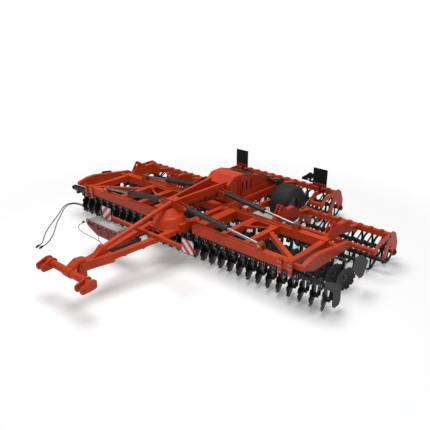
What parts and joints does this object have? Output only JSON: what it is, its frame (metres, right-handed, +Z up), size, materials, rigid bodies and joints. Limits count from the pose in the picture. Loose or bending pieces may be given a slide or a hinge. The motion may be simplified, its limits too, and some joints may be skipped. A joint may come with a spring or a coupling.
{
  "type": "trailed folding disc harrow",
  "caption": "Trailed folding disc harrow: rows of notched discs under two hinged wings, ring rollers behind, lower-link hitch, transport wheels and folding cylinders.",
  "frame": {"origin": "ground level, midway across the machine and midway along it from the hitch clevises to the rear roller", "axes": "+X to the machine's right, +Y to the rear, +Z up"},
  "size_m": [8.3137, 7.62, 1.5599],
  "materials": {
    "red_paint": "semi-gloss orange-red paint",
    "black_steel": "satin black",
    "board_sheet": "white sheet with red stripes",
    "tyre_rubber": "matt rubber",
    "rim_steel": "grey painted steel",
    "grey_barrel": "dark grey paint",
    "galvanised": "galvanised steel grating",
    "hose_rubber": "black hose cover",
    "chrome_rod": "hard chrome"
  },
  "bodies": {
    "chassis": {"centre_rails": "red_paint", "centre_cross_beams": "red_paint", "centre_front_box": "red_paint", "tower": "red_paint", "tower_plates": "red_paint", "drawbar_nose": "red_paint", "drawbar_tubes": "red_paint", "front_crossbar": "red_paint", "drawbar_strut": "grey_barrel", "marker_boards": "board_sheet", "work_lamp": "black_steel", "platform_grating": "galvanised", "platform_skirt": "red_paint", "hose_upper": "hose_rubber", "hose_lower": "hose_rubber", "signal_cable": "hose_rubber", "cord_couplings": "black_steel", "centre_discs": "black_steel", "disc_arms_centre": "black_steel", "centre_rockers": "red_paint", "centre_roller_frame": "red_paint"},
    "hitch": {"hitch_yoke": "red_paint", "hitch_crossbar": "red_paint"},
    "wheel_arm": {"wheel_arm": "red_paint"},
    "wing_right": {"wing_front_beam_right": "red_paint", "wing_rear_beam_right": "red_paint", "wing_stringers_right": "red_paint", "wing_brace_right": "red_paint", "front_discs_right": "black_steel", "rear_discs_right": "black_steel", "disc_arms_right": "black_steel", "wing_rockers_right": "red_paint", "wing_roller_frame_right": "red_paint"},
    "wheel_right": {"tyre_right": "tyre_rubber", "rim_right": "rim_steel"},
    "front_barrel_right": {"front_barrel_right": "grey_barrel"},
    "front_rod_right": {"front_rod_right": "chrome_rod"},
    "wing_front_rotor_right": {"wing_front_rotor_right": "black_steel"},
    "rear_barrel_right": {"rear_barrel_right": "grey_barrel"},
    "rear_rod_right": {"rear_rod_right": "chrome_rod"},
    "wing_rear_rotor_right": {"wing_rear_rotor_right": "black_steel"},
    "wing_left": {"wing_front_beam_left": "red_paint", "wing_rear_beam_left": "red_paint", "wing_stringers_left": "red_paint", "wing_brace_left": "red_paint", "front_discs_left": "black_steel", "rear_discs_left": "black_steel", "disc_arms_left": "black_steel", "wing_rockers_left": "red_paint", "wing_roller_frame_left": "red_paint"},
    "wheel_left": {"tyre_left": "tyre_rubber", "rim_left": "rim_steel"},
    "front_barrel_left": {"front_barrel_left": "grey_barrel"},
    "front_rod_left": {"front_rod_left": "chrome_rod"},
    "wing_front_rotor_left": {"wing_front_rotor_left": "black_steel"},
    "rear_barrel_left": {"rear_barrel_left": "grey_barrel"},
    "rear_rod_left": {"rear_rod_left": "chrome_rod"},
    "wing_rear_rotor_left": {"wing_rear_rotor_left": "black_steel"},
    "centre_front_rotor": {"centre_front_rotor": "black_steel"},
    "centre_rear_rotor": {"centre_rear_rotor": "black_steel"}
  },
  "joints": [
    {"name": "hitch_swivel", "type": "hinge", "parent": "chassis", "child": "hitch", "pos_m": [0, -3.29, 0.74], "axis": [0, 0, 1], "range_deg": [-50, 50]},
    {"name": "wing_fold_right", "type": "hinge", "parent": "chassis", "child": "wing_right", "pos_m": [0.52, 0, 0.98], "axis": [0, -1, 0], "range_deg": [0, 90]},
    {"name": "front_barrel_swing_right", "type": "hinge", "parent": "chassis", "child": "front_barrel_right", "pos_m": [0.38, -0.85, 1.27], "axis": [0, -1, 0], "range_deg": [0, 94.1]},
    {"name": "front_rod_slide_right", "type": "slide", "parent": "front_barrel_right", "child": "front_rod_right", "axis": [0.9944, 0, -0.1061], "range_m": [-0.441, 0]},
    {"name": "wing_front_rotor_spin_right", "type": "hinge", "parent": "wing_right", "child": "wing_front_rotor_right", "pos_m": [2.67, 1.52, 0.3], "axis": [1, 0, 0], "continuous": true},
    {"name": "rear_barrel_swing_right", "type": "hinge", "parent": "chassis", "child": "rear_barrel_right", "pos_m": [0.38, 0.37, 1.27], "axis": [0, -1, 0], "range_deg": [0, 94.1]},
    {"name": "rear_rod_slide_right", "type": "slide", "parent": "rear_barrel_right", "child": "rear_rod_right", "axis": [0.9944, 0, -0.1061], "range_m": [-0.441, 0]},
    {"name": "wing_rear_rotor_spin_right", "type": "hinge", "parent": "wing_right", "child": "wing_rear_rotor_right", "pos_m": [2.67, 2.04, 0.3], "axis": [1, 0, 0], "continuous": true},
    {"name": "wing_fold_left", "type": "hinge", "parent": "chassis", "child": "wing_left", "pos_m": [-0.52, 0, 0.98], "axis": [0, 1, 0], "range_deg": [0, 90]},
    {"name": "front_barrel_swing_left", "type": "hinge", "parent": "chassis", "child": "front_barrel_left", "pos_m": [-0.38, -0.85, 1.27], "axis": [0, 1, 0], "range_deg": [0, 94.1]},
    {"name": "front_rod_slide_left", "type": "slide", "parent": "front_barrel_left", "child": "front_rod_left", "axis": [-0.9944, 0, -0.1061], "range_m": [-0.441, 0]},
    {"name": "wing_front_rotor_spin_left", "type": "hinge", "parent": "wing_left", "child": "wing_front_rotor_left", "pos_m": [-2.67, 1.52, 0.3], "axis": [1, 0, 0], "continuous": true},
    {"name": "rear_barrel_swing_left", "type": "hinge", "parent": "chassis", "child": "rear_barrel_left", "pos_m": [-0.38, 0.37, 1.27], "axis": [0, 1, 0], "range_deg": [0, 94.1]},
    {"name": "rear_rod_slide_left", "type": "slide", "parent": "rear_barrel_left", "child": "rear_rod_left", "axis": [-0.9944, 0, -0.1061], "range_m": [-0.441, 0]},
    {"name": "wing_rear_rotor_spin_left", "type": "hinge", "parent": "wing_left", "child": "wing_rear_rotor_left", "pos_m": [-2.67, 2.04, 0.3], "axis": [1, 0, 0], "continuous": true},
    {"name": "centre_front_rotor_spin", "type": "hinge", "parent": "chassis", "child": "centre_front_rotor", "pos_m": [0, 2.99, 0.3], "axis": [1, 0, 0], "continuous": true},
    {"name": "centre_rear_rotor_spin", "type": "hinge", "parent": "chassis", "child": "centre_rear_rotor", "pos_m": [0, 3.51, 0.3], "axis": [1, 0, 0], "continuous": true},
    {"name": "wheel_arm_lower", "type": "hinge", "parent": "chassis", "child": "wheel_arm", "pos_m": [0, 0.97, 0.7], "axis": [-1, 0, 0], "range_deg": [0, 30]},
    {"name": "wheel_spin_right", "type": "hinge", "parent": "wheel_arm", "child": "wheel_right", "pos_m": [0.9, 2.12, 0.66], "axis": [1, 0, 0], "continuous": true},
    {"name": "wheel_spin_left", "type": "hinge", "parent": "wheel_arm", "child": "wheel_left", "pos_m": [-0.9, 2.12, 0.66], "axis": [1, 0, 0], "continuous": true}
  ],
  "couplings": [
    {"joint": "front_barrel_swing_right", "follows": "wing_fold_right", "ratio": 1.0434},
    {"joint": "front_rod_slide_right", "follows": "wing_fold_right", "m_per_rad": -0.28008},
    {"joint": "rear_barrel_swing_right", "follows": "wing_fold_right", "ratio": 1.0434},
    {"joint": "rear_rod_slide_right", "follows": "wing_fold_right", "m_per_rad": -0.28008},
    {"joint": "front_barrel_swing_left", "follows": "wing_fold_left", "ratio": 1.0434},
    {"joint": "front_rod_slide_left", "follows": "wing_fold_left", "m_per_rad": -0.28008},
    {"joint": "rear_barrel_swing_left", "follows": "wing_fold_left", "ratio": 1.0434},
    {"joint": "rear_rod_slide_left", "follows": "wing_fold_left", "m_per_rad": -0.28008}
  ]
}
